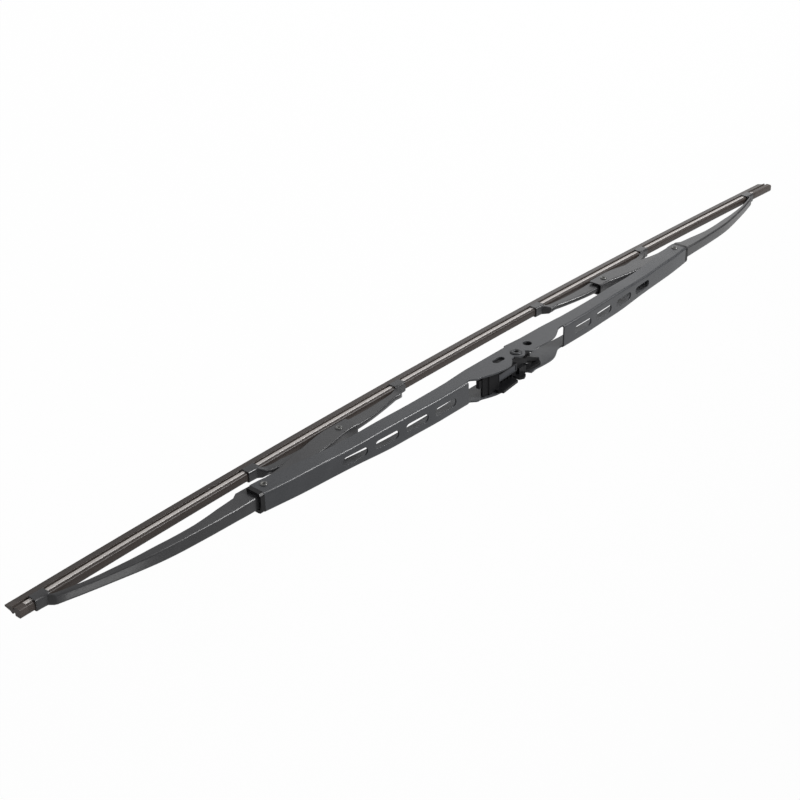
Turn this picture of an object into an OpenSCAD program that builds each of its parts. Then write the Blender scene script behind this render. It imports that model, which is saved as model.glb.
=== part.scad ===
// Framed wiper blade: a slotted steel bridge carries two levers, each lever a yoke,
// and their six claws hold a bowed rubber strip with two steel rails in its sides.
// X runs along the blade, Y across it and Z from the rubber's lip to the bridge.
// The origin is on the centre pivot's axis. Millimetres.

/* [Blade] */
// distance from the centre pivot to each outer claw
claw_reach = 280; // [230:1:330]
// radius of the long bow that the rubber keeps
bow_radius = 6100; // [4500:50:12000]
// height of the centre pivot above the rubber's neck
pivot_rise = 33; // [30:0.5:38]
// height of the lever pivots above the neck's lowest point
lever_rise = 22.4; // [21.4:0.1:23.6]
// height of the yoke pivots above the neck's lowest point
yoke_rise = 11.8; // [11.2:0.1:12.6]

/* [Bridge] */
// outer width of the bridge at its centre
bridge_width = 13.1; // [12.4:0.1:15]
// outer width of the bridge over the lever pivots
bridge_end_width = 10.6; // [10.2:0.1:11.4]
// sheet thickness of the bridge
bridge_sheet = 0.9; // [0.7:0.05:1]
// half length of the open window round the centre pivot
window_reach = 40.4; // [36:0.2:46]
// how far the cheeks rise above the centre pivot
cheek_rise = 6.8; // [6:0.1:8]
// number of slots in each half of the spine
slot_count = 4; // [2:1:5]
// length of one slot
slot_length = 15.8; // [10:0.2:17]
// width of one slot
slot_width = 4.4; // [3:0.1:5]
// diameter of the side pin hole through both cheeks
side_pin_diameter = 4.8; // [4:0.1:5.4]

/* [Levers and yokes] */
// outer width of a lever at its pivot
lever_width = 6.9; // [6.6:0.1:7.2]
// sheet thickness of a lever
lever_sheet = 0.7; // [0.6:0.05:0.8]
// outer width of a yoke at its pivot
yoke_width = 4; // [3.6:0.1:4.2]
// sheet thickness of a yoke
yoke_sheet = 0.6; // [0.5:0.05:0.7]
// length of a claw along the rubber
claw_length = 7; // [5:0.5:10]

/* [Rubber] */
// width of the rubber's head
head_width = 4.4; // [4.2:0.1:4.8]
// height of the head's top above the middle of the neck
head_top = 4.3; // [4:0.1:4.8]
// depth of the wiping lip below the middle of the neck
lip_depth = 5.9; // [5:0.1:7]
// how far the rubber runs past the left outer claw
left_overhang = 11; // [8:0.5:30]
// how far the rubber runs past the right outer claw
right_overhang = 26.5; // [8:0.5:40]
// thickness of a steel rail
rail_sheet = 0.7; // [0.5:0.05:0.8]

/* [Rivets] */
// shank diameter of the centre rivet
centre_shank = 4; // [3:0.1:4.4]
// shank diameter of the lever rivets
lever_shank = 2.2; // [1.8:0.1:2.6]
// shank diameter of the yoke rivets
yoke_shank = 2.2; // [1.8:0.1:2.6]

/* [Hidden] */
$fn = 48;

left = -1;
right = 1;

// gaps between pieces
seat_gap = 0.02;
running_gap = 0.06;
rubber_gap = 0.1;

// places along the blade
lever_pivot = 0.604 * claw_reach;
yoke_pivot = 0.3935 * claw_reach;
outer_claw = claw_reach;
middle_claw = 0.574 * claw_reach;
inner_claw = 0.209 * claw_reach;
bridge_end = lever_pivot + 4.6;
cheek_end = window_reach + 6;
lever_inner_end = yoke_pivot - 8.5;
claw_half = claw_length / 2;

// colours
steel_paint = [0.2, 0.21, 0.23];
plastic = [0.05, 0.05, 0.055];
rivet_steel = [0.3, 0.31, 0.33];
rubber_brown = [0.25, 0.22, 0.2];
rail_steel = [0.75, 0.73, 0.72];

// height of the rubber's neck line and its slope in degrees
function neck(x) = x * x / (2 * bow_radius);
function neck_slope(x) = asin(x / bow_radius);

// straight blend from a to b, held level outside its ends
function ramp(x, x0, x1, a, b) = a + (b - a) * min(1, max(0, (x - x0) / (x1 - x0)));
// blend that starts level and then falls away by a power
function sweep_down(x, x0, x1, a, b, power) =
    a + (b - a) * pow(min(1, max(0, (x - x0) / (x1 - x0))), power);

// smooth curve through a short list of [x, z] points
function chord(p, i) = (p[i + 1][1] - p[i][1]) / (p[i + 1][0] - p[i][0]);
function knot_slope(p, i) =
    i == 0 ? chord(p, 0)
    : i == len(p) - 1 ? chord(p, i - 1)
    : chord(p, i - 1) * chord(p, i) <= 0 ? 0
    : (chord(p, i - 1) + chord(p, i)) / 2;
function span_of(p, x, i = 0) = i >= len(p) - 2 || x <= p[i + 1][0] ? i : span_of(p, x, i + 1);
function in_span(p, x, i, w, t) =
    (2 * t ^ 3 - 3 * t ^ 2 + 1) * p[i][1] + (t ^ 3 - 2 * t ^ 2 + t) * w * knot_slope(p, i)
    + (3 * t ^ 2 - 2 * t ^ 3) * p[i + 1][1] + (t ^ 3 - t ^ 2) * w * knot_slope(p, i + 1);
function smooth(p, x) =
    let (i = span_of(p, x), w = p[i + 1][0] - p[i][0], t = min(1, max(0, (x - p[i][0]) / w)))
    in_span(p, x, i, w, t);

// evenly spaced stations from a to b, no further apart than pitch
function stations(a, b, pitch) = let (n = ceil((b - a) / pitch)) [for (i = [0:n]) a + (b - a) * i / n];

// arc as a list of points
function arc(cy, cz, r, from, to, steps) =
    [for (i = [0:steps]) let (a = from + (to - from) * i / steps) [cy + r * cos(a), cz + r * sin(a)]];

// claw section sizes, measured from the neck line
claw_sheet = 0.6;
claw_inner = head_width / 2 + rubber_gap;
claw_outer = claw_inner + claw_sheet;
claw_under = head_top + rubber_gap;
claw_top = claw_under + claw_sheet;
head_bottom = 0.6;
neck_half = 0.6;
tip_gap = 0.3;
tip_top = head_bottom - rubber_gap;
tip_bottom = tip_top - claw_sheet;
corner_steps = 3;
bend_radius = 1.1;

// bridge outline: side view of its web, of the edge of its flanges, and its width
bridge_bend = 1.4;
spine_top = pivot_rise + 1.6;
bridge_top_line = [
    [window_reach, spine_top],
    [0.215 * claw_reach, spine_top],
    [0.285 * claw_reach, pivot_rise + 0.9],
    [0.357 * claw_reach, pivot_rise + 0.2],
    [0.43 * claw_reach, pivot_rise - 1],
    [0.5 * claw_reach, (pivot_rise + lever_rise) / 2 + 2.9],
    [0.57 * claw_reach, lever_rise + 6.8],
    [bridge_end, lever_rise + 5.2]
];
bridge_bottom_line = [
    [window_reach, pivot_rise - 7.3],
    [0.215 * claw_reach, pivot_rise - 7],
    [0.285 * claw_reach, pivot_rise - 7.1],
    [0.357 * claw_reach, pivot_rise - 7.9],
    [0.43 * claw_reach, pivot_rise - 9.1],
    [0.5 * claw_reach, (pivot_rise + lever_rise) / 2 - 5.6],
    [0.57 * claw_reach, lever_rise - 2.9],
    [bridge_end - 4, lever_rise - 4.3],
    [bridge_end, lever_rise - 4.4]
];
bridge_width_line = [
    [window_reach, bridge_width],
    [0.33 * claw_reach, bridge_width],
    [0.43 * claw_reach, bridge_end_width + 0.5],
    [0.54 * claw_reach, bridge_end_width + 0.4],
    [lever_pivot - 5, bridge_end_width],
    [bridge_end, bridge_end_width]
];
function bridge_top(x) = smooth(bridge_top_line, x);
function bridge_bottom(x) = smooth(bridge_bottom_line, x);
function bridge_half(x) = smooth(bridge_width_line, x) / 2;

// lever outline: side view of its web and of the edge of its flanges, and its width
skirt_end = 0.645 * claw_reach;
skirt_step = 0.656 * claw_reach;
outer_claw_start = outer_claw - claw_half;
outer_claw_top = neck(claw_reach) + claw_top;
mid_rise = (yoke_rise + lever_rise) / 2;
lever_top_line = [
    [lever_inner_end, yoke_rise + 4.4],
    [0.382 * claw_reach, yoke_rise + 4.4],
    [0.421 * claw_reach, yoke_rise + 6.2],
    [0.5 * claw_reach, mid_rise + 4.5],
    [lever_pivot, lever_rise + 3.2],
    [0.643 * claw_reach, lever_rise + 3.5],
    [0.714 * claw_reach, lever_rise + 3.2],
    [0.75 * claw_reach, lever_rise + 2.8],
    [0.786 * claw_reach, lever_rise + 2.3],
    [0.821 * claw_reach, lever_rise + 1.4],
    [0.857 * claw_reach, lever_rise - 0.2],
    [0.893 * claw_reach, lever_rise - 2.1],
    [0.929 * claw_reach, lever_rise - 4.1],
    [0.964 * claw_reach, outer_claw_top + 4.5],
    [outer_claw_start, outer_claw_top + 2.4],
    [outer_claw_start + 1.5, outer_claw_top + 0.2],
    [outer_claw + claw_half, outer_claw_top]
];
lever_bottom_line = [
    [lever_inner_end, yoke_rise - 3.8],
    [0.41 * claw_reach, yoke_rise - 3.8],
    [0.5 * claw_reach, mid_rise - 4.5],
    [0.579 * claw_reach, lever_rise - 5.8],
    [skirt_end, lever_rise - 6.3],
    [skirt_step, lever_rise - 4.4],
    [0.679 * claw_reach, lever_rise - 4],
    [0.714 * claw_reach, lever_rise - 2.8],
    [0.75 * claw_reach, lever_rise - 2],
    [0.786 * claw_reach, lever_rise - 2.2],
    [0.821 * claw_reach, lever_rise - 3],
    [0.857 * claw_reach, lever_rise - 3.6],
    [0.893 * claw_reach, lever_rise - 4.8],
    [0.929 * claw_reach, lever_rise - 6.2],
    [0.954 * claw_reach, outer_claw_top + 3.4],
    [outer_claw_start, outer_claw_top + 1],
    [outer_claw + claw_half, outer_claw_top - 2]
];
lever_width_line = [
    [lever_inner_end, lever_width],
    [0.643 * claw_reach, lever_width],
    [0.679 * claw_reach, lever_width - 0.4],
    [0.768 * claw_reach, lever_width - 0.4],
    [0.857 * claw_reach, lever_width - 1],
    [0.939 * claw_reach, 2 * claw_outer - 0.6],
    [outer_claw_start - 1, 2 * claw_outer - 0.6],
    [outer_claw_start + 1.5, 2 * claw_outer],
    [outer_claw + claw_half, 2 * claw_outer]
];
lever_stations = concat(
    stations(lever_inner_end, skirt_end, 5.5),
    stations(skirt_step, outer_claw_start - 1, 5),
    [outer_claw_start, outer_claw_start + 1.5, outer_claw + claw_half]
);
// the web never comes closer to the flange's edge than its bend needs
function above_edge(bottom, top) = min(bottom, top - bend_radius - 0.2);
function lever_top(x) = smooth(lever_top_line, x);
function lever_bottom(x) = above_edge(smooth(lever_bottom_line, x), lever_top(x));
function lever_half(x) = smooth(lever_width_line, x) / 2;

// yoke outline
yoke_inner_end = inner_claw - claw_half;
yoke_outer_end = middle_claw + claw_half;
inner_claw_end = inner_claw + claw_half;
middle_claw_start = middle_claw - claw_half;
inner_claw_top = neck(inner_claw) + claw_top;
middle_claw_top = neck(middle_claw) + claw_top;
yoke_top_line = [
    [yoke_inner_end, inner_claw_top],
    [inner_claw_end - 2, inner_claw_top + 0.3],
    [inner_claw_end, yoke_rise - 2.6],
    [0.239 * claw_reach, yoke_rise - 2],
    [0.25 * claw_reach, yoke_rise - 1.3],
    [0.286 * claw_reach, yoke_rise + 0.6],
    [0.321 * claw_reach, yoke_rise + 2],
    [0.357 * claw_reach, yoke_rise + 2.6],
    [yoke_pivot, yoke_rise + 2.6],
    [0.45 * claw_reach, yoke_rise + 2.4],
    [0.5 * claw_reach, yoke_rise + 1.9],
    [0.518 * claw_reach, yoke_rise + 1.3],
    [0.536 * claw_reach, yoke_rise + 0.3],
    [0.55 * claw_reach, yoke_rise - 0.5],
    [middle_claw_start + 0.5, middle_claw_top + 2.4],
    [middle_claw_start + 2, middle_claw_top + 0.2],
    [yoke_outer_end, middle_claw_top]
];
yoke_bottom_line = [
    [yoke_inner_end, inner_claw_top - 2],
    [inner_claw_end, inner_claw_top - 0.6],
    [0.239 * claw_reach, yoke_rise - 5.6],
    [0.25 * claw_reach, yoke_rise - 5.2],
    [0.286 * claw_reach, yoke_rise - 4.5],
    [0.321 * claw_reach, yoke_rise - 4.2],
    [0.4 * claw_reach, yoke_rise - 4.2],
    [0.45 * claw_reach, yoke_rise - 2.8],
    [0.49 * claw_reach, yoke_rise - 2.8],
    [0.518 * claw_reach, yoke_rise - 3.7],
    [0.546 * claw_reach, yoke_rise - 3.8],
    [middle_claw_start + 0.5, middle_claw_top - 1.4],
    [yoke_outer_end, middle_claw_top - 2]
];
yoke_arm = yoke_width - 1;
yoke_width_line = [
    [yoke_inner_end, 2 * claw_outer],
    [inner_claw_end - 2, 2 * claw_outer],
    [inner_claw_end + 2, yoke_arm],
    [0.35 * claw_reach, yoke_arm + 0.2],
    [yoke_pivot - 4, yoke_width],
    [yoke_pivot + 4, yoke_width],
    [0.45 * claw_reach, yoke_arm + 0.2],
    [middle_claw_start - 2, yoke_arm],
    [middle_claw_start + 2, 2 * claw_outer],
    [yoke_outer_end, 2 * claw_outer]
];
yoke_stations = concat(
    [yoke_inner_end, inner_claw_end - 2, inner_claw_end, inner_claw_end + 2],
    stations(0.239 * claw_reach, 0.55 * claw_reach, 4.5),
    [middle_claw_start - 1, middle_claw_start + 0.5, middle_claw_start + 2, yoke_outer_end]
);
function yoke_top(x) = smooth(yoke_top_line, x);
function yoke_bottom(x) = above_edge(smooth(yoke_bottom_line, x), yoke_top(x));
function yoke_half(x) = smooth(yoke_width_line, x) / 2;

// everything below is laid out on the neck line and then lowered to the pivot's height
module from_neck() translate([0, 0, -pivot_rise]) children();
module on_side(side) if (side == left) mirror([1, 0, 0]) children(); else children();
// a 2D shape in Y and Z, drawn along X
module along_x(length) rotate([90, 0, 90]) linear_extrude(length) children();
// a 2D shape in X and Z, drawn across Y and centred on it
module across(width) rotate([90, 0, 0]) linear_extrude(width, center = true) children();
// a round bar or bore across the blade
module cross_bar(x, z, d, width) translate([x, 0, z]) rotate([90, 0, 0]) cylinder(d = d, h = width, center = true);

// folded sheet: two flanges and a web with rounded bends, open towards the rubber
function folded(half, top, bottom, sheet, bend) =
    let (i = bend - sheet, y = half - bend, z = top - bend, r = max(i, 0.15), s = bend - sheet - r)
    concat(
        [[half, bottom]],
        arc(y, z, bend, 0, 90, corner_steps),
        arc(-y, z, bend, 90, 180, corner_steps),
        [[-half, bottom], [-half + sheet, bottom]],
        arc(-y - s, z + s, r, 180, 90, corner_steps),
        arc(y + s, z + s, r, 90, 0, corner_steps),
        [[half - sheet, bottom]]
    );

// skin over a row of like folded sections; each section's inner points run back along
// its outer ones, so an end is closed by a strip between the two
module skin(sections) {
    n = len(sections);
    m = len(sections[0]);
    points = [for (s = sections) each s];
    walls = [
        for (i = [0:n - 2], j = [0:m - 1])
            let (a = i * m + j, b = i * m + (j + 1) % m)
            each [[a, a + m, b + m], [a, b + m, b]]
    ];
    strip = [for (j = [0:m / 2 - 2]) each [[j, j + 1, m - 2 - j], [j, m - 2 - j, m - 1 - j]]];
    last = (n - 1) * m;
    far_strip = [for (f = strip) [last + f[0], last + f[2], last + f[1]]];
    polyhedron(points, concat(walls, strip, far_strip), convexity = 8);
}
module channel(xs, top, bottom, half, sheet, bend)
    skin([for (x = xs) [for (p = folded(half(x), top(x), bottom(x), sheet, bend)) [x, p[0], p[1]]]]);

// C-shaped claw that closes round the rubber's head
module claw(x) {
    section = concat(
        [[claw_outer, tip_bottom + 0.3]],
        arc(claw_outer - bend_radius, claw_top - bend_radius, bend_radius, 0, 90, corner_steps),
        arc(bend_radius - claw_outer, claw_top - bend_radius, bend_radius, 90, 180, corner_steps),
        [
            [-claw_outer, tip_bottom + 0.3], [0.3 - claw_outer, tip_bottom],
            [-neck_half - tip_gap, tip_bottom], [-neck_half - tip_gap, tip_top],
            [-claw_inner, tip_top], [-claw_inner, claw_under],
            [claw_inner, claw_under], [claw_inner, tip_top],
            [neck_half + tip_gap, tip_top], [neck_half + tip_gap, tip_bottom],
            [claw_outer - 0.3, tip_bottom]
        ]
    );
    translate([x, 0, neck(x)]) rotate([0, -neck_slope(x), 0])
        translate([-claw_half, 0, 0]) along_x(claw_length) polygon(section);
}

// rounded slot through the spine
module spine_slot(x) {
    straight = slot_length - slot_width;
    depth = 4 * bend_radius;
    translate([x, 0, bridge_top(x) - depth]) {
        translate([-straight / 2, -slot_width / 2, 0]) cube([straight, slot_width, 2 * depth]);
        for (end = [-1, 1]) translate([end * straight / 2, 0, 0]) cylinder(d = slot_width, h = 2 * depth);
    }
}

// crest of the cheeks: each point is a share of the window's reach and of the cheeks' rise
lobe_radius = 4.8;
lobe_start = 27;
crest_pitch = 1.2;
left_crest = [
    [-1, 0.02], [-0.945, 0.06], [-0.872, 0.44], [-0.813, 0.46], [-0.715, 0.68], [-0.61, 0.88],
    [-0.52, 0.96], [-0.426, 1], [-0.327, 0.97], [-0.265, 0.84], [-0.213, 0.62], [-0.166, 0.35]
];
right_crest = [
    [0.156, 0.79], [0.173, 0.81], [0.277, 0.73], [0.426, 0.79], [0.545, 0.81],
    [0.686, 0.68], [0.824, 0.31], [0.896, 0.09], [0.96, 0.02], [1, 0.02]
];
function crest_line(crest) = [for (c = crest) [c[0] * window_reach, pivot_rise + c[1] * cheek_rise]];
// points of a crest in order of falling x
function crest_points(line) =
    let (xs = stations(line[0][0], line[len(line) - 1][0], crest_pitch))
    [for (i = [len(xs) - 1:-1:0]) [xs[i], smooth(line, xs[i])]];
cheek_bottom = pivot_rise - 8.2;
bump_depth = 1;
cheek_outline = concat(
    [
        [-cheek_end, pivot_rise - 7.3], [-0.8 * window_reach, cheek_bottom],
        [1.2, cheek_bottom], [1.5, cheek_bottom - bump_depth], [0.35 * window_reach, cheek_bottom],
        [0.8 * window_reach, cheek_bottom + 0.2], [cheek_end, pivot_rise - 7.3],
        [cheek_end, spine_top - bridge_bend], [window_reach, spine_top - bridge_bend]
    ],
    crest_points(crest_line(right_crest)),
    [[0.136 * window_reach, pivot_rise + 0.5 * cheek_rise]],
    arc(0, pivot_rise, lobe_radius, lobe_start, 180 - lobe_start, 12),
    crest_points(crest_line(left_crest)),
    [[-window_reach, spine_top - bridge_bend], [-cheek_end, spine_top - bridge_bend]]
);
side_hole_x = 0.292 * window_reach;
oval_x = 0.309 * window_reach;
side_hole_z = pivot_rise - 1.65;
oval_length = 8;
oval_width = 3.8;

// places of the slots in one half of the spine
first_slot = window_reach + slot_length / 2 + 9.7;
slot_pitch = slot_length + 4.9;
last_slot = lever_pivot - 14 - slot_length / 2;

module primary_bridge() color(steel_paint) from_neck() difference() {
    union() {
        for (side = [left, right]) on_side(side)
            channel(stations(window_reach, bridge_end, 5.5), function(x) bridge_top(x),
                function(x) bridge_bottom(x), function(x) bridge_half(x), bridge_sheet, bridge_bend);
        for (side = [-1, 1])
            translate([0, side * (bridge_width - bridge_sheet) / 2, 0])
                across(bridge_sheet) polygon(cheek_outline);
    }
    for (side = [left, right]) on_side(side) {
        for (x = [for (i = [0:slot_count - 1]) first_slot + slot_pitch * i]) if (x <= last_slot) spine_slot(x);
        cross_bar(lever_pivot, lever_rise, lever_shank + 2 * seat_gap, 2 * bridge_width);
    }
    cross_bar(0, pivot_rise, centre_shank + 2 * seat_gap, 2 * bridge_width);
    cross_bar(side_hole_x, side_hole_z, side_pin_diameter, 2 * bridge_width);
    for (end = [-1, 1])
        cross_bar(end * (oval_length - oval_width) / 2 - oval_x, side_hole_z, oval_width, 2 * bridge_width);
    translate([-oval_x, 0, side_hole_z])
        cube([oval_length - oval_width, 2 * bridge_width, oval_width], center = true);
}

// hollow rivet across the blade: a tube with a rolled rim at each end
module tube_rivet(x, z, grip, shank) {
    rim = 0.75;
    bore = 0.28 * shank;
    outer = 0.5 * shank;
    reach = 0.8 * shank;
    half_profile = [
        [bore, 0], [outer, 0], [outer, grip / 2], [reach, grip / 2], [reach, grip / 2 + 0.4 * rim],
        [0.88 * reach, grip / 2 + 0.8 * rim], [0.7 * reach, grip / 2 + rim],
        [1.3 * bore, grip / 2 + 0.8 * rim], [bore, grip / 2 + 0.2 * rim]
    ];
    translate([x, 0, z]) rotate([90, 0, 0]) {
        rotate_extrude() polygon(half_profile);
        mirror([0, 0, 1]) rotate_extrude() polygon(half_profile);
    }
}
module centre_rivet() color(rivet_steel) from_neck()
    tube_rivet(0, pivot_rise, bridge_width + 2 * seat_gap, centre_shank);
module lever_rivet(side) color(rivet_steel) from_neck() on_side(side)
    tube_rivet(lever_pivot, lever_rise, bridge_end_width + 2 * seat_gap, lever_shank);
module yoke_rivet(side) color(rivet_steel) from_neck() on_side(side)
    tube_rivet(yoke_pivot, yoke_rise, lever_width + 2 * seat_gap, yoke_shank);

module lever(side) color(steel_paint) from_neck() on_side(side) difference() {
    union() {
        channel(lever_stations, function(x) lever_top(x),
            function(x) lever_bottom(x), function(x) lever_half(x), lever_sheet, bend_radius);
        claw(outer_claw);
    }
    cross_bar(lever_pivot, lever_rise, lever_shank + 2 * running_gap, 2 * lever_width);
    cross_bar(yoke_pivot, yoke_rise, yoke_shank + 2 * seat_gap, 2 * lever_width);
    rubber_clearance(outer_claw);
}

module yoke(side) color(steel_paint) from_neck() on_side(side) difference() {
    union() {
        channel(yoke_stations, function(x) yoke_top(x),
            function(x) yoke_bottom(x), function(x) yoke_half(x), yoke_sheet, bend_radius);
        claw(inner_claw);
        claw(middle_claw);
    }
    cross_bar(yoke_pivot, yoke_rise, yoke_shank + 2 * running_gap, 2 * lever_width);
    rubber_clearance(inner_claw);
    rubber_clearance(middle_claw);
}

// space that the rubber's head takes inside a claw, a little longer than the claw
module rubber_clearance(x) {
    room = claw_length + 30;
    translate([x, 0, neck(x)]) rotate([0, -neck_slope(x), 0])
        translate([-room / 2, -claw_inner, tip_top])
            cube([room, 2 * claw_inner, claw_under - tip_top]);
}

// thin plastic saddle between the bridge and a lever, with a rim over the bridge's end
liner_half = bridge_end_width / 2 - bridge_sheet - seat_gap;
liner_sheet = liner_half - lever_width / 2 - running_gap;
liner_reach = 6;
liner_bottom = lever_rise - 3.9;
rim_start = bridge_end + seat_gap;
rim_length = 2.4;
rim_sheet = bridge_end_width / 2 - lever_width / 2 - running_gap;
lever_room_top = lever_rise + 4.3;
module lever_liner(side) color(plastic) from_neck() on_side(side) difference() {
    union() {
        channel(stations(lever_pivot - liner_reach, rim_start + rim_length, 4),
            function(x) bridge_top(min(x, bridge_end)) - bridge_sheet - seat_gap - 0.02,
            function(x) liner_bottom, function(x) liner_half, liner_sheet, liner_sheet + 0.15);
        channel([rim_start, rim_start + rim_length], function(x) bridge_top(bridge_end),
            function(x) liner_bottom, function(x) bridge_end_width / 2, rim_sheet, rim_sheet + 0.2);
    }
    cross_bar(lever_pivot, lever_rise, lever_shank + 2 * running_gap, 2 * bridge_width);
    // room for the lever's web
    translate([lever_pivot - 2 * liner_reach, -lever_width / 2 - running_gap, 0])
        cube([4 * liner_reach, lever_width + 2 * running_gap, lever_room_top]);
}

// thin plastic saddle between a lever and its yoke
yoke_liner_half = lever_width / 2 - lever_sheet - seat_gap;
yoke_liner_sheet = yoke_liner_half - yoke_width / 2 - running_gap;
yoke_liner_reach = 4;
module yoke_liner(side) color(plastic) from_neck() on_side(side) difference() {
    channel(stations(yoke_pivot - yoke_liner_reach, yoke_pivot + yoke_liner_reach, 4),
        function(x) lever_top(x) - lever_sheet - seat_gap - 0.03, function(x) yoke_rise - 2.6,
        function(x) yoke_liner_half, yoke_liner_sheet, yoke_liner_sheet + 0.15);
    cross_bar(yoke_pivot, yoke_rise, yoke_shank + 2 * running_gap, 2 * lever_width);
}

// rubber section: head, thin neck and a lip that tapers to its wiping edge
rail_mid = 2.35;
rail_half = rail_sheet / 2 + seat_gap;
groove_bottom = head_width / 2 - 1.2;
rubber_half_section = [
    [0, head_top], [head_width / 2 - 0.9, head_top], [head_width / 2 - 0.35, head_top - 0.25],
    [head_width / 2, head_top - 0.8], [head_width / 2, head_bottom + 0.3],
    [head_width / 2 - 0.3, head_bottom], [neck_half, head_bottom], [neck_half, -0.6],
    [1.9, -0.8], [1.9, -1.5], [1.1, -2.3], [0.4, 0.3 - lip_depth], [0.4, -lip_depth], [0, -lip_depth]
];
// a section in Y and Z swept along the rubber's bow from one X to another
module along_bow(from, to) translate([0, 0, bow_radius]) rotate([90, 0, 0])
    rotate([0, 0, -90 + neck_slope(from)])
        rotate_extrude(angle = neck_slope(to) - neck_slope(from), $fn = 360)
            rotate([0, 0, 90]) mirror([1, 0]) translate([0, -bow_radius]) children();
// how far the rails run past the outer claws
rail_past = claw_half + 3.5;
module rubber_strip() color(rubber_brown) from_neck() difference() {
    along_bow(-claw_reach - left_overhang, claw_reach + right_overhang)
        polygon(concat(rubber_half_section, [for (i = [len(rubber_half_section) - 2:-1:1])
            [-rubber_half_section[i][0], rubber_half_section[i][1]]]));
    // grooves for the rails
    for (face = [-1, 1])
        along_bow(-claw_reach - rail_past - seat_gap, claw_reach + rail_past + seat_gap)
            translate([face * (groove_bottom + head_width / 2), rail_mid])
                square([head_width, 2 * rail_half], center = true);
}

// flat spring steel rail in the side of the rubber's head
module rail(face) color(rail_steel) from_neck()
    along_bow(-claw_reach - rail_past, claw_reach + rail_past)
        translate([face * (groove_bottom + head_width / 2 + seat_gap) / 2, rail_mid])
            square([head_width / 2 - groove_bottom - seat_gap, rail_sheet], center = true);

// plastic clip on the centre pivot that takes the wiper arm's hook; its lengths are
// shares of the window's reach
clip_half = bridge_width / 2 - bridge_sheet - 0.15;
clip_wall = 1.4;
wall_face = clip_wall - clip_half;
thumb_tip = -0.765 * window_reach;
thumb_rib = -0.675 * window_reach;
label_start = -0.51 * window_reach;
label_stop = -0.115 * window_reach;
body_stop = 0.09 * window_reach;
frame_start = 0.2 * window_reach;
frame_stop = 0.438 * window_reach;
hook_start = -0.594 * window_reach;
hook_stop = -0.095 * window_reach;
pocket_start = -0.47 * window_reach;
pocket_stop = -0.21 * window_reach;
clip_bottom = pivot_rise - 5.2;
deck = pivot_rise + 2.5;
thumb_root_top = pivot_rise + 5;
thumb_sheet = 1.6;
label_near = 3.6;
label_far = -0.9;
label_rim = 0.6;
label_rise = 1.8;
label_depth = 0.4;
rib_pitch = 2.6;
rib_sheet = 0.8;
nub_length = 2.2;
nub_width = 4.4;
hook_width = 6;
floor_sheet = 1;

// box from one corner to the other
module block(a, b) translate(a) cube(b - a);

// side view of one tab of the raised far wall
module far_tab(points) translate([0, clip_wall / 2 - clip_half, 0]) across(clip_wall) polygon(points);

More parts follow.
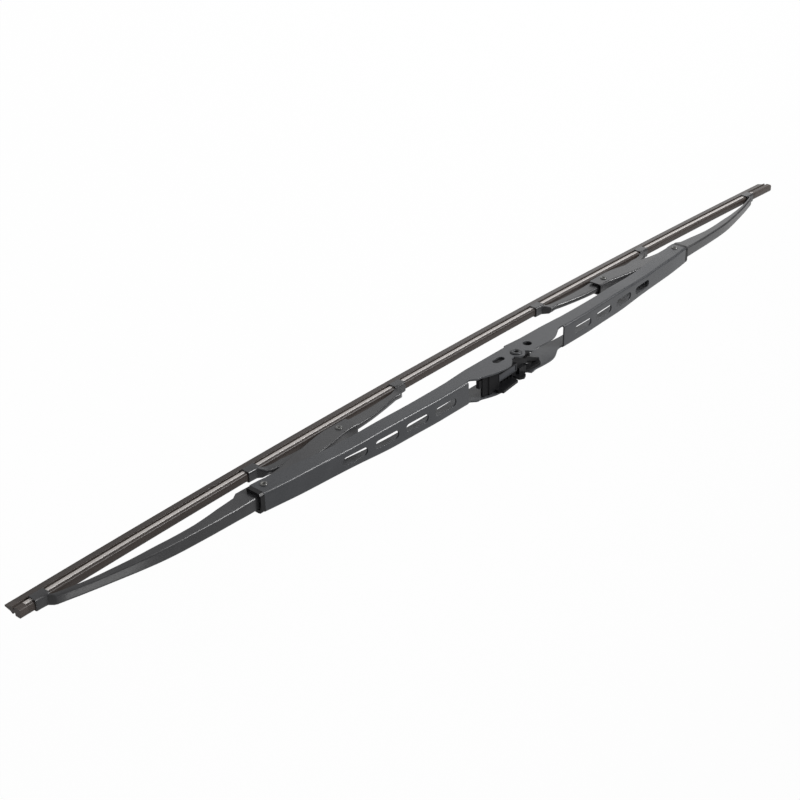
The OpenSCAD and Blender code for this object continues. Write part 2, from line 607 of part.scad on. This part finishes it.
module adapter_clip() color(plastic) from_neck() difference() {
    union() {
        // body round the pivot
        across(2 * clip_half) polygon([
            [label_start, clip_bottom], [body_stop, clip_bottom], [body_stop + 1, deck - 1.5],
            [body_stop - 0.5, deck], [label_start, deck]
        ]);
        // thumb plate, thin at its tip, with a cross rib
        across(2 * clip_half) polygon([
            [label_start, clip_bottom], [label_start + 0.5, thumb_root_top],
            [thumb_rib + 1.6, thumb_root_top - 1], [thumb_rib + 1.4, thumb_root_top - 0.5],
            [thumb_rib, thumb_root_top - 0.8], [thumb_rib - 0.2, thumb_root_top - 1.4],
            [thumb_tip + 0.6, thumb_root_top - 1.9], [thumb_tip, thumb_root_top - 2.4],
            [thumb_tip, thumb_root_top - 1.9 - thumb_sheet], [hook_start, thumb_root_top - 4.4]
        ]);
        // stop nub at the tip of the thumb plate
        block([thumb_tip - nub_length, clip_half - 1.5 - nub_width, deck - 2.2],
            [thumb_tip + 0.5, clip_half - 1.5, deck - 0.2]);
        // label panel, left bare
        translate([0, (label_near + label_far) / 2, 0]) across(label_near - label_far) polygon([
            [label_start, deck - 0.5], [label_stop, deck - 0.5], [label_stop, deck + label_rise],
            [label_start, deck + label_rise + 0.8]
        ]);
        // raised far wall in two tabs
        far_tab([
            [-0.557 * window_reach, deck - 4], [-0.557 * window_reach, deck + 3.7],
            [-0.53 * window_reach, deck + 6.4], [-0.19 * window_reach, deck + 4.9],
            [-0.165 * window_reach, deck]
        ]);
        far_tab([
            [-0.139 * window_reach, deck - 1], [-0.129 * window_reach, deck + 3.9],
            [-0.06 * window_reach, deck + 5.1], [0, deck + 4.1], [0.035 * window_reach, deck + 2],
            [0.06 * window_reach, deck - 1]
        ]);
        // small block beside the far wall
        block([-0.05 * window_reach, wall_face - 0.2, deck - 1], [body_stop, label_far, deck + 1.4]);
        // frame beyond the pivot: near arm, taller far arm, floor and a diagonal bar
        translate([0, clip_half - clip_wall / 2, 0]) across(clip_wall) polygon([
            [body_stop - 1, clip_bottom], [frame_stop, clip_bottom], [frame_stop, deck - 1.5],
            [frame_stop - 4, deck + 0.5], [body_stop - 1, deck]
        ]);
        far_tab([
            [body_stop - 1, clip_bottom], [frame_stop, clip_bottom], [frame_stop, deck - 0.5],
            [frame_stop - 2, deck + 1.9], [body_stop - 1, deck + 1.4]
        ]);
        block([body_stop - 1, -clip_half, clip_bottom], [frame_stop, clip_half, clip_bottom + floor_sheet]);
        translate([0, 0, deck - 2.6]) linear_extrude(2.1) polygon([
            [body_stop - 1, -0.6], [frame_start, -1.2], [frame_stop - 2, -4.4], [frame_stop - 2, -clip_half],
            [frame_stop, -clip_half], [frame_stop, -3], [frame_start, 1.2], [body_stop - 1, 1.9]
        ]);
    }
    cross_bar(0, pivot_rise, centre_shank + 2 * running_gap, 2 * bridge_width);
    cross_bar(side_hole_x, side_hole_z, side_pin_diameter, 2 * bridge_width);
    // sunk field of the label panel
    translate([0, (label_near + label_far) / 2, 0])
        across(label_near - label_far - 2 * label_rim) polygon([
            [label_start + label_rim, deck + label_rise + 0.8 - label_depth],
            [label_stop - label_rim, deck + label_rise - label_depth],
            [label_stop - label_rim, deck + 8], [label_start + label_rim, deck + 8]
        ]);
    // hook channel under the thumb plate and the body
    block([hook_start, -hook_width / 2, 0], [hook_stop, hook_width / 2, pivot_rise + 0.5]);
    // ribbed pocket between the label panel and the far wall
    for (x = [pocket_start:rib_pitch:pocket_stop])
        block([x, wall_face, deck - 1.4], [x + rib_pitch - rib_sheet, label_far, deck + 8]);
}

primary_bridge();
centre_rivet();
adapter_clip();
lever_rivet(left);  // lever_rivet_left
lever_rivet(right);  // lever_rivet_right
lever_liner(left);  // lever_liner_left
lever_liner(right);  // lever_liner_right
lever(left);  // lever_left
lever(right);  // lever_right
yoke_rivet(left);  // yoke_rivet_left
yoke_rivet(right);  // yoke_rivet_right
yoke_liner(left);  // yoke_liner_left
yoke_liner(right);  // yoke_liner_right
yoke(left);  // yoke_left
yoke(right);  // yoke_right
rubber_strip();
rail(1);  // rail_near
rail(-1);  // rail_far
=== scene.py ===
"""Framed wiper blade in its own working position, seen on its side as it lies in the photograph."""
import math
import bpy
from mathutils import Matrix, Vector


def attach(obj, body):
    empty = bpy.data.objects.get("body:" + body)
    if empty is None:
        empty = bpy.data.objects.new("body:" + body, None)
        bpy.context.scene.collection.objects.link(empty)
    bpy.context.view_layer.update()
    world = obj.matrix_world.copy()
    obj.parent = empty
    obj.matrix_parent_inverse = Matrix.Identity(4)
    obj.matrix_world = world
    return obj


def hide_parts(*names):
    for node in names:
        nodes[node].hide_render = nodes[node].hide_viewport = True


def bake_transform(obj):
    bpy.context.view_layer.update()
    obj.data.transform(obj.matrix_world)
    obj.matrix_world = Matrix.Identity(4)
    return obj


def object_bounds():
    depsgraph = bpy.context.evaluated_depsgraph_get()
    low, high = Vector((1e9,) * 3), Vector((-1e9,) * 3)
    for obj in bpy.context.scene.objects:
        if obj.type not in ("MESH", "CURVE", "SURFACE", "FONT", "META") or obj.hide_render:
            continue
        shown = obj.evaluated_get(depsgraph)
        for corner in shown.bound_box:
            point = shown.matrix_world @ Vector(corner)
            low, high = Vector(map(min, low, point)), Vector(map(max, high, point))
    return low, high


MM = 0.001
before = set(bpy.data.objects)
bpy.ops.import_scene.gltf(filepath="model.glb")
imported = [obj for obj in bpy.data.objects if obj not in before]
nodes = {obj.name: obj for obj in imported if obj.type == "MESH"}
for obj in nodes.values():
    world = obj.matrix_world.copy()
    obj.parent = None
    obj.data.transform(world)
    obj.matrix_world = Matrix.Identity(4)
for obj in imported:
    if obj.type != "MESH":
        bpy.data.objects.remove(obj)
cad_low, cad_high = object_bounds()
scene = bpy.context.scene
scene.view_settings.view_transform = "Standard"


# Camera

CAMERA_PLACE = Vector((-514.5, 338.5, 388.9)) * MM
CAMERA_RIGHT = Vector((0.66423, -0.02606, 0.74708))
CAMERA_UP = Vector((0.37929, 0.87294, -0.30678))
FOCAL_PIXELS = 1400
FRAME_PIXELS = 800
SENSOR = 36


def add_camera():
    bpy.ops.object.camera_add(location=CAMERA_PLACE)
    camera = bpy.context.object
    camera.name = "photo_camera"
    right = CAMERA_RIGHT.normalized()
    back = right.cross(CAMERA_UP).normalized()
    up = back.cross(right)
    turn = Matrix((right, up, back)).transposed()
    camera.matrix_world = Matrix.Translation(CAMERA_PLACE) @ turn.to_4x4()
    camera.data.sensor_width = SENSOR
    camera.data.lens = FOCAL_PIXELS / FRAME_PIXELS * SENSOR
    camera.data.clip_start = 0.01
    scene.camera = camera


add_camera()


# Materials

BUMP_DEPTH = 0.05 * MM


def new_group(name, inputs, outputs):
    """Node group with these named sockets; returns its tree and its two end nodes."""
    tree = bpy.data.node_groups.new(name, "ShaderNodeTree")
    for label, kind in inputs:
        tree.interface.new_socket(name=label, in_out="INPUT", socket_type=kind)
    for label, kind in outputs:
        tree.interface.new_socket(name=label, in_out="OUTPUT", socket_type=kind)
    return tree, tree.nodes.new("NodeGroupInput"), tree.nodes.new("NodeGroupOutput")


def grain_group():
    """Fine bumps over slow unevenness, as a height and as two tones of one colour."""
    tree, ends_in, ends_out = new_group(
        "moulded_grain",
        [("Place", "NodeSocketVector"),
         ("Fine Scale", "NodeSocketFloat"), ("Slow Scale", "NodeSocketFloat"),
         ("Dark", "NodeSocketColor"), ("Light", "NodeSocketColor"),
         ("Smooth", "NodeSocketFloat"), ("Rough", "NodeSocketFloat")],
        [("Colour", "NodeSocketColor"), ("Roughness", "NodeSocketFloat"), ("Height", "NodeSocketFloat")])
    link = tree.links.new
    fine = tree.nodes.new("ShaderNodeTexNoise")
    fine.inputs["Detail"].default_value = 3
    slow = tree.nodes.new("ShaderNodeTexNoise")
    slow.inputs["Detail"].default_value = 5
    slow.inputs["Roughness"].default_value = 0.65
    link(ends_in.outputs["Place"], fine.inputs["Vector"])
    link(ends_in.outputs["Place"], slow.inputs["Vector"])
    link(ends_in.outputs["Fine Scale"], fine.inputs["Scale"])
    link(ends_in.outputs["Slow Scale"], slow.inputs["Scale"])
    spread = tree.nodes.new("ShaderNodeMapRange")
    spread.inputs["From Min"].default_value = 0.3
    spread.inputs["From Max"].default_value = 0.7
    link(slow.outputs["Fac"], spread.inputs["Value"])
    tone = tree.nodes.new("ShaderNodeMix")
    tone.data_type = "RGBA"
    link(spread.outputs["Result"], tone.inputs["Factor"])
    link(ends_in.outputs["Dark"], tone.inputs["A"])
    link(ends_in.outputs["Light"], tone.inputs["B"])
    link(tone.outputs["Result"], ends_out.inputs["Colour"])
    gloss = tree.nodes.new("ShaderNodeMix")
    link(spread.outputs["Result"], gloss.inputs["Factor"])
    link(ends_in.outputs["Smooth"], gloss.inputs["A"])
    link(ends_in.outputs["Rough"], gloss.inputs["B"])
    link(gloss.outputs["Result"], ends_out.inputs["Roughness"])
    link(fine.outputs["Fac"], ends_out.inputs["Height"])
    return tree


grain = grain_group()


def surface(name, dark, light, smooth, rough, fine_scale, slow_scale, bump, stretch=(1, 1, 1),
            metallic=0.0, coat=0.0, coat_roughness=0.1, specular=0.5):
    """Principled material whose colour, gloss and bumps come from the grain group."""
    material = bpy.data.materials.new(name)
    material.use_nodes = True
    tree = material.node_tree
    link = tree.links.new
    shader = tree.nodes["Principled BSDF"]
    shader.inputs["Metallic"].default_value = metallic
    shader.inputs["Coat Weight"].default_value = coat
    shader.inputs["Coat Roughness"].default_value = coat_roughness
    shader.inputs["Specular IOR Level"].default_value = specular
    place = tree.nodes.new("ShaderNodeTexCoord")
    mapping = tree.nodes.new("ShaderNodeMapping")
    mapping.inputs["Scale"].default_value = stretch
    link(place.outputs["Object"], mapping.inputs["Vector"])
    group = tree.nodes.new("ShaderNodeGroup")
    group.node_tree = grain
    link(mapping.outputs["Vector"], group.inputs["Place"])
    group.inputs["Fine Scale"].default_value = fine_scale
    group.inputs["Slow Scale"].default_value = slow_scale
    group.inputs["Dark"].default_value = (*dark, 1)
    group.inputs["Light"].default_value = (*light, 1)
    group.inputs["Smooth"].default_value = smooth
    group.inputs["Rough"].default_value = rough
    height = tree.nodes.new("ShaderNodeBump")
    height.inputs["Strength"].default_value = bump
    height.inputs["Distance"].default_value = BUMP_DEPTH
    link(group.outputs["Height"], height.inputs["Height"])
    link(group.outputs["Colour"], shader.inputs["Base Color"])
    link(group.outputs["Roughness"], shader.inputs["Roughness"])
    link(height.outputs["Normal"], shader.inputs["Normal"])
    return material


def field_group():
    """Mask of one upright box in object coordinates: 1 inside it and 0 outside."""
    tree, ends_in, ends_out = new_group(
        "field_mask",
        [("Place", "NodeSocketVector"),
         ("Centre", "NodeSocketVector"), ("Half Size", "NodeSocketVector")],
        [("Mask", "NodeSocketFloat")])
    link = tree.links.new
    offset = tree.nodes.new("ShaderNodeVectorMath")
    offset.operation = "SUBTRACT"
    link(ends_in.outputs["Place"], offset.inputs[0])
    link(ends_in.outputs["Centre"], offset.inputs[1])
    span = tree.nodes.new("ShaderNodeVectorMath")
    span.operation = "ABSOLUTE"
    link(offset.outputs["Vector"], span.inputs[0])
    room = tree.nodes.new("ShaderNodeVectorMath")
    room.operation = "SUBTRACT"
    link(ends_in.outputs["Half Size"], room.inputs[0])
    link(span.outputs["Vector"], room.inputs[1])
    parts = tree.nodes.new("ShaderNodeSeparateXYZ")
    link(room.outputs["Vector"], parts.inputs[0])
    last = parts.outputs["X"]
    for axis in ("Y", "Z"):
        least = tree.nodes.new("ShaderNodeMath")
        least.operation = "MINIMUM"
        link(last, least.inputs[0])
        link(parts.outputs[axis], least.inputs[1])
        last = least.outputs[0]
    inside = tree.nodes.new("ShaderNodeMath")
    inside.operation = "GREATER_THAN"
    inside.inputs[1].default_value = 0
    link(last, inside.inputs[0])
    link(inside.outputs[0], ends_out.inputs["Mask"])
    return tree


def tint_field(material, mask, centre, half_size, colour):
    """Other colour over one box-shaped field of a material."""
    tree = material.node_tree
    link = tree.links.new
    shader = tree.nodes["Principled BSDF"]
    under = shader.inputs["Base Color"].links[0].from_socket
    place = tree.nodes["Texture Coordinate"]
    group = tree.nodes.new("ShaderNodeGroup")
    group.node_tree = mask
    link(place.outputs["Object"], group.inputs["Place"])
    group.inputs["Centre"].default_value = centre
    group.inputs["Half Size"].default_value = half_size
    mix = tree.nodes.new("ShaderNodeMix")
    mix.data_type = "RGBA"
    link(group.outputs["Mask"], mix.inputs["Factor"])
    link(under, mix.inputs["A"])
    mix.inputs["B"].default_value = (*colour, 1)
    link(mix.outputs["Result"], shader.inputs["Base Color"])


# stretch that draws the grain out along the blade
LENGTHWISE = (0.02, 1, 1)
bridge_coat = surface("bridge_coat", (0.034, 0.036, 0.040), (0.046, 0.048, 0.053),
                      smooth=0.38, rough=0.46, fine_scale=1200, slow_scale=60,
                      bump=0.12, coat=0.25, coat_roughness=0.16)
lever_coat = surface("lever_coat", (0.027, 0.027, 0.029), (0.040, 0.040, 0.042),
                     smooth=0.30, rough=0.40, fine_scale=1200, slow_scale=60,
                     bump=0.1, coat=0.35, coat_roughness=0.13)
rivet_coat = surface("rivet_coat", (0.10, 0.10, 0.098), (0.28, 0.28, 0.27),
                     smooth=0.20, rough=0.32, fine_scale=3000, slow_scale=500, bump=0.15, metallic=0.65)
axle_coat = surface("axle_coat", (0.020, 0.021, 0.023), (0.060, 0.062, 0.066),
                    smooth=0.30, rough=0.42, fine_scale=3000, slow_scale=500, bump=0.2, metallic=0.4)
liner_plastic = surface("liner_plastic", (0.006, 0.006, 0.007), (0.011, 0.011, 0.012),
                        smooth=0.35, rough=0.5, fine_scale=2000, slow_scale=200,
                        bump=0.15, specular=0.35)
clip_plastic = surface("clip_plastic", (0.004, 0.004, 0.005), (0.009, 0.009, 0.010),
                       smooth=0.38, rough=0.55, fine_scale=2000, slow_scale=150,
                       bump=0.15, specular=0.28)
# bare field of the label panel, paler than the moulding round it
field_mask = field_group()
tint_field(clip_plastic, field_mask, centre=Vector((-12.6, 1.35, 4.3)) * MM,
           half_size=Vector((7.6, 1.75, 1.2)) * MM, colour=(0.052, 0.054, 0.060))
blade_rubber = surface("blade_rubber", (0.029, 0.022, 0.019), (0.055, 0.044, 0.039),
                       smooth=0.34, rough=0.46, fine_scale=900, slow_scale=300,
                       bump=0.1, stretch=LENGTHWISE, specular=0.42)
BOW_RADIUS = 6100 * MM
NECK_DROP = 33 * MM


def painted_highlight_band(material, low, high, side, colour):
    """Painted highlight: a paler band along the bowed strip, between two heights above its neck and past
    one distance from its middle plane on each side, standing for the sheen on the rubber head's rounded
    upper corner."""
    tree = material.node_tree
    link = tree.links.new
    shader = tree.nodes["Principled BSDF"]
    under = shader.inputs["Base Color"].links[0].from_socket
    parts = tree.nodes.new("ShaderNodeSeparateXYZ")
    link(tree.nodes["Texture Coordinate"].outputs["Object"], parts.inputs[0])

    def step(operation, first, second):
        node = tree.nodes.new("ShaderNodeMath")
        node.operation = operation
        for socket, value in zip(node.inputs, (first, second)):
            if isinstance(value, (int, float)):
                socket.default_value = value
            else:
                link(value, socket)
        return node.outputs[0]

    rise = step("DIVIDE", step("POWER", parts.outputs["X"], 2), 2 * BOW_RADIUS)
    height = step("SUBTRACT", step("ADD", parts.outputs["Z"], NECK_DROP), rise)
    middle = step("ABSOLUTE", step("SUBTRACT", height, (low + high) / 2), 0)
    inside = step("LESS_THAN", middle, (high - low) / 2)
    outside = step("GREATER_THAN", step("ABSOLUTE", parts.outputs["Y"], 0), side)
    mix = tree.nodes.new("ShaderNodeMix")
    mix.data_type = "RGBA"
    link(step("MULTIPLY", inside, outside), mix.inputs["Factor"])
    link(under, mix.inputs["A"])
    mix.inputs["B"].default_value = (*colour, 1)
    link(mix.outputs["Result"], shader.inputs["Base Color"])


# painted highlight: pale band on the sides of the rubber head, standing for the sheen on its upper
# corner
painted_highlight_band(blade_rubber, low=0.85 * MM, high=2.75 * MM, side=2.1 * MM, colour=(0.36, 0.333, 0.315))
tip_rubber = surface("tip_rubber", (0.042, 0.034, 0.030), (0.072, 0.059, 0.053),
                     smooth=0.36, rough=0.48, fine_scale=900, slow_scale=300,
                     bump=0.1, stretch=LENGTHWISE, specular=0.42)
rail_steel = surface("rail_steel", (0.50, 0.475, 0.46), (0.62, 0.595, 0.575),
                     smooth=0.40, rough=0.50, fine_scale=1500, slow_scale=500,
                     bump=0.02, stretch=LENGTHWISE, metallic=0.3)


# Pieces copied from the frame's solids and finished

SHARP_EDGE = math.radians(50)
SMOOTH_BEND = math.radians(38)
PAIR_TURN = math.radians(5)
SAME_POINT = 0.001 * MM


def pick(obj):
    bpy.ops.object.select_all(action="DESELECT")
    obj.select_set(True)
    bpy.context.view_layer.objects.active = obj


def apply_modifier(obj, modifier):
    pick(obj)
    bpy.ops.object.modifier_apply(modifier=modifier.name)


def copy_solid(node, name, flat_turn=0.2):
    """Copy of a solid of the frame: its points are merged and its flat faces joined, or where
    flat_turn is None only its pairs of triangles."""
    piece = bpy.data.objects.new(name, nodes[node].data.copy())
    scene.collection.objects.link(piece)
    pick(piece)
    bpy.ops.object.mode_set(mode="EDIT")
    bpy.ops.mesh.select_all(action="SELECT")
    bpy.ops.mesh.remove_doubles(threshold=SAME_POINT)
    if flat_turn is None:
        bpy.ops.mesh.tris_convert_to_quads(face_threshold=PAIR_TURN, shape_threshold=math.pi)
    else:
        bpy.ops.mesh.dissolve_limited(angle_limit=math.radians(flat_turn))
    bpy.ops.object.mode_set(mode="OBJECT")
    return piece


def finish_edges(piece, width):
    """Small round on every sharp edge, and smooth shading over the bends."""
    bevel = piece.modifiers.new("edges", "BEVEL")
    bevel.width = width
    bevel.segments = 2
    bevel.limit_method = "ANGLE"
    bevel.angle_limit = SHARP_EDGE
    bevel.use_clamp_overlap = True
    apply_modifier(piece, bevel)
    pick(piece)
    bpy.ops.object.shade_smooth_by_angle(angle=SMOOTH_BEND)
    facing = piece.modifiers.new("facing", "WEIGHTED_NORMAL")
    facing.keep_sharp = True
    apply_modifier(piece, facing)


def coat(piece, material):
    piece.data.materials.clear()
    piece.data.materials.append(material)


def dress(node, body, material, width):
    """Finished copy of a rigid solid that stands for it."""
    piece = copy_solid(node, node + "_finished")
    finish_edges(piece, width)
    coat(piece, material)
    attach(piece, body)
    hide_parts(node)


SHEET_EDGE = 0.12 * MM
YOKE_EDGE = 0.1 * MM
MOULDED_EDGE = 0.25 * MM
dress("primary_bridge", "bridge", bridge_coat, SHEET_EDGE)
dress("adapter_clip", "adapter", clip_plastic, MOULDED_EDGE)
for side in ("left", "right"):
    dress("lever_" + side, side + "_lever", lever_coat, SHEET_EDGE)
    dress("yoke_" + side, side + "_yoke", lever_coat, YOKE_EDGE)

NODE_COATS = {"rivet": rivet_coat, "centre_rivet": axle_coat, "liner": liner_plastic}
for name, node in nodes.items():
    for word, material in NODE_COATS.items():
        if word in name:
            coat(node, material)


# Rubber and rails, cut where they cross from one moving body to the next

INNER_CLAW = 58.5 * MM
MIDDLE_CLAW = 160.7 * MM
OUTER_CLAW = 280 * MM
CENTRE_BEND = 36 * MM
CLAW_ROOM = 6 * MM
RING_PITCH = 6 * MM
BOW_CENTRE = Vector((0, 0, BOW_RADIUS - NECK_DROP))


def bow_turn(place):
    """Turn about the bow's centre that brings the middle of the blade to a distance along it."""
    return math.asin(place / BOW_RADIUS)


def section_face(node, name, place, start):
    """The section that a strip has at one place, as a single flat face turned to its start."""
    piece = copy_solid(node, name, flat_turn=None)
    normal = Vector((math.cos(bow_turn(place)), 0, math.sin(bow_turn(place))))
    bpy.ops.object.mode_set(mode="EDIT")
    bpy.ops.mesh.select_mode(type="FACE")
    bpy.ops.mesh.select_all(action="SELECT")
    bpy.ops.mesh.bisect(plane_co=BOW_CENTRE, plane_no=normal, use_fill=True, clear_inner=True)
    bpy.ops.object.mode_set(mode="OBJECT")
    for face in piece.data.polygons:
        face.select = abs(normal.dot(face.center - BOW_CENTRE)) > SAME_POINT
    bpy.ops.object.mode_set(mode="EDIT")
    bpy.ops.mesh.delete(type="FACE")
    bpy.ops.mesh.select_all(action="SELECT")
    bpy.ops.mesh.dissolve_limited(angle_limit=math.radians(1))
    bpy.ops.object.mode_set(mode="OBJECT")
    turned = Matrix.Rotation(bow_turn(place) - bow_turn(start), 4, "Y")
    piece.data.transform(Matrix.Translation(BOW_CENTRE) @ turned @ Matrix.Translation(-BOW_CENTRE))
    return piece


def sweep(piece, start, stop, corner):
    """Rounds the corners of a section and sweeps it along the bow into a closed strip."""
    pick(piece)
    bpy.ops.object.mode_set(mode="EDIT")
    bpy.ops.mesh.select_all(action="SELECT")
    bpy.ops.mesh.bevel(offset=corner, segments=3, affect="VERTICES", clamp_overlap=True)
    bpy.ops.mesh.select_all(action="SELECT")
    steps = max(1, round((stop - start) / RING_PITCH))
    turn = bow_turn(stop) - bow_turn(start)
    bpy.ops.mesh.spin(steps=steps, angle=turn, center=BOW_CENTRE, axis=(0, 1, 0))
    bpy.ops.mesh.select_all(action="SELECT")
    bpy.ops.mesh.fill_holes(sides=0)
    bpy.ops.mesh.select_all(action="SELECT")
    bpy.ops.mesh.normals_make_consistent(inside=False)
    bpy.ops.object.mode_set(mode="OBJECT")


def finish_strip(piece, node, material):
    pick(piece)
    bpy.ops.object.shade_smooth_by_angle(angle=SMOOTH_BEND)
    coat(piece, material)
    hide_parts(node)


def strip_length(node, name, start, stop, material, corner):
    """One length of a strip, swept from the section in the middle of it."""
    piece = section_face(node, name, (start + stop) / 2, start)
    sweep(piece, start, stop, corner)
    finish_strip(piece, node, material)
    return piece


def strip_pieces(node, material, far_end, corner):
    """Three lengths on each side of the centre: outer, inner and centre."""
    for side, sign in (("left", -1), ("right", 1)):
        lever, yoke = side + "_lever", side + "_yoke"
        outer_start, outer_end = OUTER_CLAW - CLAW_ROOM, MIDDLE_CLAW + CLAW_ROOM
        blends = (("outer", far_end, INNER_CLAW, lever, yoke, outer_start, outer_end),
                  ("inner", INNER_CLAW, CENTRE_BEND, yoke, lever, INNER_CLAW - CLAW_ROOM, CENTRE_BEND),
                  ("centre", CENTRE_BEND, 0, lever, "bridge", CENTRE_BEND, 0))
        for label, far, near, first, second, start, end in blends:
            low, high = sorted((sign * far, sign * near))
            piece = strip_length(node, f"{node}_{side}_{label}", low, high, material, corner)
            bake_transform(piece)


RAIL_END = OUTER_CLAW + 7 * MM
GROOVE_END = RAIL_END + 0.05 * MM
TIPS = {"left": 291 * MM, "right": 306.5 * MM}
RUBBER_CORNER = 0.15 * MM
RAIL_CORNER = 0.08 * MM

strip_pieces("rubber_strip", blade_rubber, GROOVE_END, RUBBER_CORNER)
strip_pieces("rail_near", rail_steel, RAIL_END, RAIL_CORNER)
strip_pieces("rail_far", rail_steel, RAIL_END, RAIL_CORNER)
for side, sign in (("left", -1), ("right", 1)):
    low, high = sorted((sign * GROOVE_END, sign * TIPS[side]))
    name = f"rubber_strip_{side}_tip"
    tip = strip_length("rubber_strip", name, low, high, tip_rubber, RUBBER_CORNER)
    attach(tip, side + "_lever")


# Floor, backdrop and light

FLOOR_DROP = 0.25
FLOOR_SIZE = 12
FLOOR_GREY = 0.85
# share of plain white in what the camera sees of the floor; the rest keeps a faint shadow
WHITE_SHARE = 0.96
# places along X where gloss sees the floor dim, bright, still bright and dark
FLOOR_DIM = -0.05
FLOOR_BRIGHT = 0.5
FLOOR_FADE = 0.9
FLOOR_DARK = 1.6
FLOOR_DARK_LEVEL = 0.25


def add_floor():
    """Pale floor, nearly white to the camera; gloss sees it brightest in one stretch along +X."""
    bpy.ops.mesh.primitive_plane_add(size=FLOOR_SIZE, location=(0, 0, cad_low.z - FLOOR_DROP))
    floor = bpy.context.object
    floor.name = "floor"
    material = bpy.data.materials.new("pale_floor")
    material.use_nodes = True
    tree = material.node_tree
    link = tree.links.new
    tree.nodes.remove(tree.nodes["Principled BSDF"])
    matt = tree.nodes.new("ShaderNodeBsdfDiffuse")
    matt.inputs["Color"].default_value = (FLOOR_GREY, FLOOR_GREY, FLOOR_GREY, 1)
    white = tree.nodes.new("ShaderNodeEmission")
    white.inputs["Strength"].default_value = 1
    mirrored = tree.nodes.new("ShaderNodeEmission")
    place = tree.nodes.new("ShaderNodeTexCoord")
    along = tree.nodes.new("ShaderNodeSeparateXYZ")
    link(place.outputs["Object"], along.inputs[0])
    level = tree.nodes.new("ShaderNodeMath")
    level.operation = "MULTIPLY"
    link(ramp(tree, along.outputs["X"], FLOOR_DIM, FLOOR_BRIGHT, DIM_LEVEL, 1), level.inputs[0])
    link(ramp(tree, along.outputs["X"], FLOOR_FADE, FLOOR_DARK, 1, FLOOR_DARK_LEVEL), level.inputs[1])
    link(level.outputs[0], mirrored.inputs["Strength"])
    path = tree.nodes.new("ShaderNodeLightPath")
    share = tree.nodes.new("ShaderNodeMath")
    share.operation = "MULTIPLY"
    share.inputs[1].default_value = WHITE_SHARE
    link(path.outputs["Is Camera Ray"], share.inputs[0])
    last = matt
    for ray, seen in ((path.outputs["Is Glossy Ray"], mirrored), (share.outputs[0], white)):
        mix = tree.nodes.new("ShaderNodeMixShader")
        link(ray, mix.inputs["Fac"])
        link(last.outputs[0], mix.inputs[1])
        link(seen.outputs[0], mix.inputs[2])
        last = mix
    link(last.outputs[0], tree.nodes["Material Output"].inputs["Surface"])
    floor.data.materials.append(material)


# strength of the even light on matt surfaces
STUDIO_LIGHT = 0.5
# what gloss shows of the studio: bright towards +X and dim towards the middle, with one dark side
# given as a direction and the cosines where it starts and ends
BRIGHT_END = 0.85
DIM_END = 0.45
DIM_LEVEL = 0.38
WORLD_SHARE = 0.8
DARK_SIDE = (0.82, 0.45, 0.36)
DARK_EDGE = 0.76
DARK_HEART = 0.90
DARK_LEVEL = 0.05


def ramp(tree, value, low, high, low_level, high_level):
    """Smooth run from one level to another as a value goes from low to high."""
    node = tree.nodes.new("ShaderNodeMapRange")
    node.interpolation_type = "SMOOTHSTEP"
    for label, number in (("From Min", low), ("From Max", high),
                          ("To Min", low_level), ("To Max", high_level)):
        node.inputs[label].default_value = number
    tree.links.new(value, node.inputs["Value"])
    return node.outputs["Result"]


def add_world():
    """Even studio light, plain white to the camera, and the studio that gloss shows."""
    world = bpy.data.worlds.new("studio")
    world.use_nodes = True
    tree = world.node_tree
    link = tree.links.new
    plain = tree.nodes["Background"]
    plain.inputs["Color"].default_value = (1, 1, 1, 1)
    plain.inputs["Strength"].default_value = STUDIO_LIGHT
    place = tree.nodes.new("ShaderNodeTexCoord")
    along = tree.nodes.new("ShaderNodeSeparateXYZ")
    link(place.outputs["Generated"], along.inputs[0])
    facing = tree.nodes.new("ShaderNodeVectorMath")
    facing.operation = "DOT_PRODUCT"
    facing.inputs[1].default_value = Vector(DARK_SIDE).normalized()
    link(place.outputs["Generated"], facing.inputs[0])
    level = tree.nodes.new("ShaderNodeMath")
    level.operation = "MULTIPLY"
    dim = DIM_LEVEL * WORLD_SHARE
    link(ramp(tree, along.outputs["X"], DIM_END, BRIGHT_END, dim, WORLD_SHARE), level.inputs[0])
    link(ramp(tree, facing.outputs["Value"], DARK_EDGE, DARK_HEART, 1, DARK_LEVEL), level.inputs[1])
    mirrored = tree.nodes.new("ShaderNodeBackground")
    mirrored.inputs["Color"].default_value = (1, 1, 1, 1)
    link(level.outputs[0], mirrored.inputs["Strength"])
    white = tree.nodes.new("ShaderNodeBackground")
    white.inputs["Color"].default_value = (1, 1, 1, 1)
    white.inputs["Strength"].default_value = 1
    path = tree.nodes.new("ShaderNodeLightPath")
    last = plain
    for ray, seen in (("Is Glossy Ray", mirrored), ("Is Transmission Ray", white),
                      ("Is Camera Ray", white)):
        mix = tree.nodes.new("ShaderNodeMixShader")
        link(path.outputs[ray], mix.inputs["Fac"])
        link(last.outputs[0], mix.inputs[1])
        link(seen.outputs[0], mix.inputs[2])
        last = mix
    link(last.outputs[0], tree.nodes["World Output"].inputs["Surface"])
    scene.world = world


def add_lamp(name, direction, distance, size, power):
    """Square area lamp that faces the centre of the blade from a direction."""
    place = Vector(direction).normalized() * distance
    bpy.ops.object.light_add(type="AREA", location=place)
    lamp = bpy.context.object
    lamp.name = name
    lamp.data.size = size
    lamp.data.energy = power
    lamp.rotation_euler = place.to_track_quat("Z", "Y").to_euler()


add_floor()
add_world()
add_lamp("bend_lamp", (0.77, 0.98, 0.86), distance=1.51, size=0.5, power=20)
add_lamp("arm_lamp", (-0.05, -0.57, 0.82), distance=1.6, size=0.35, power=1.2)
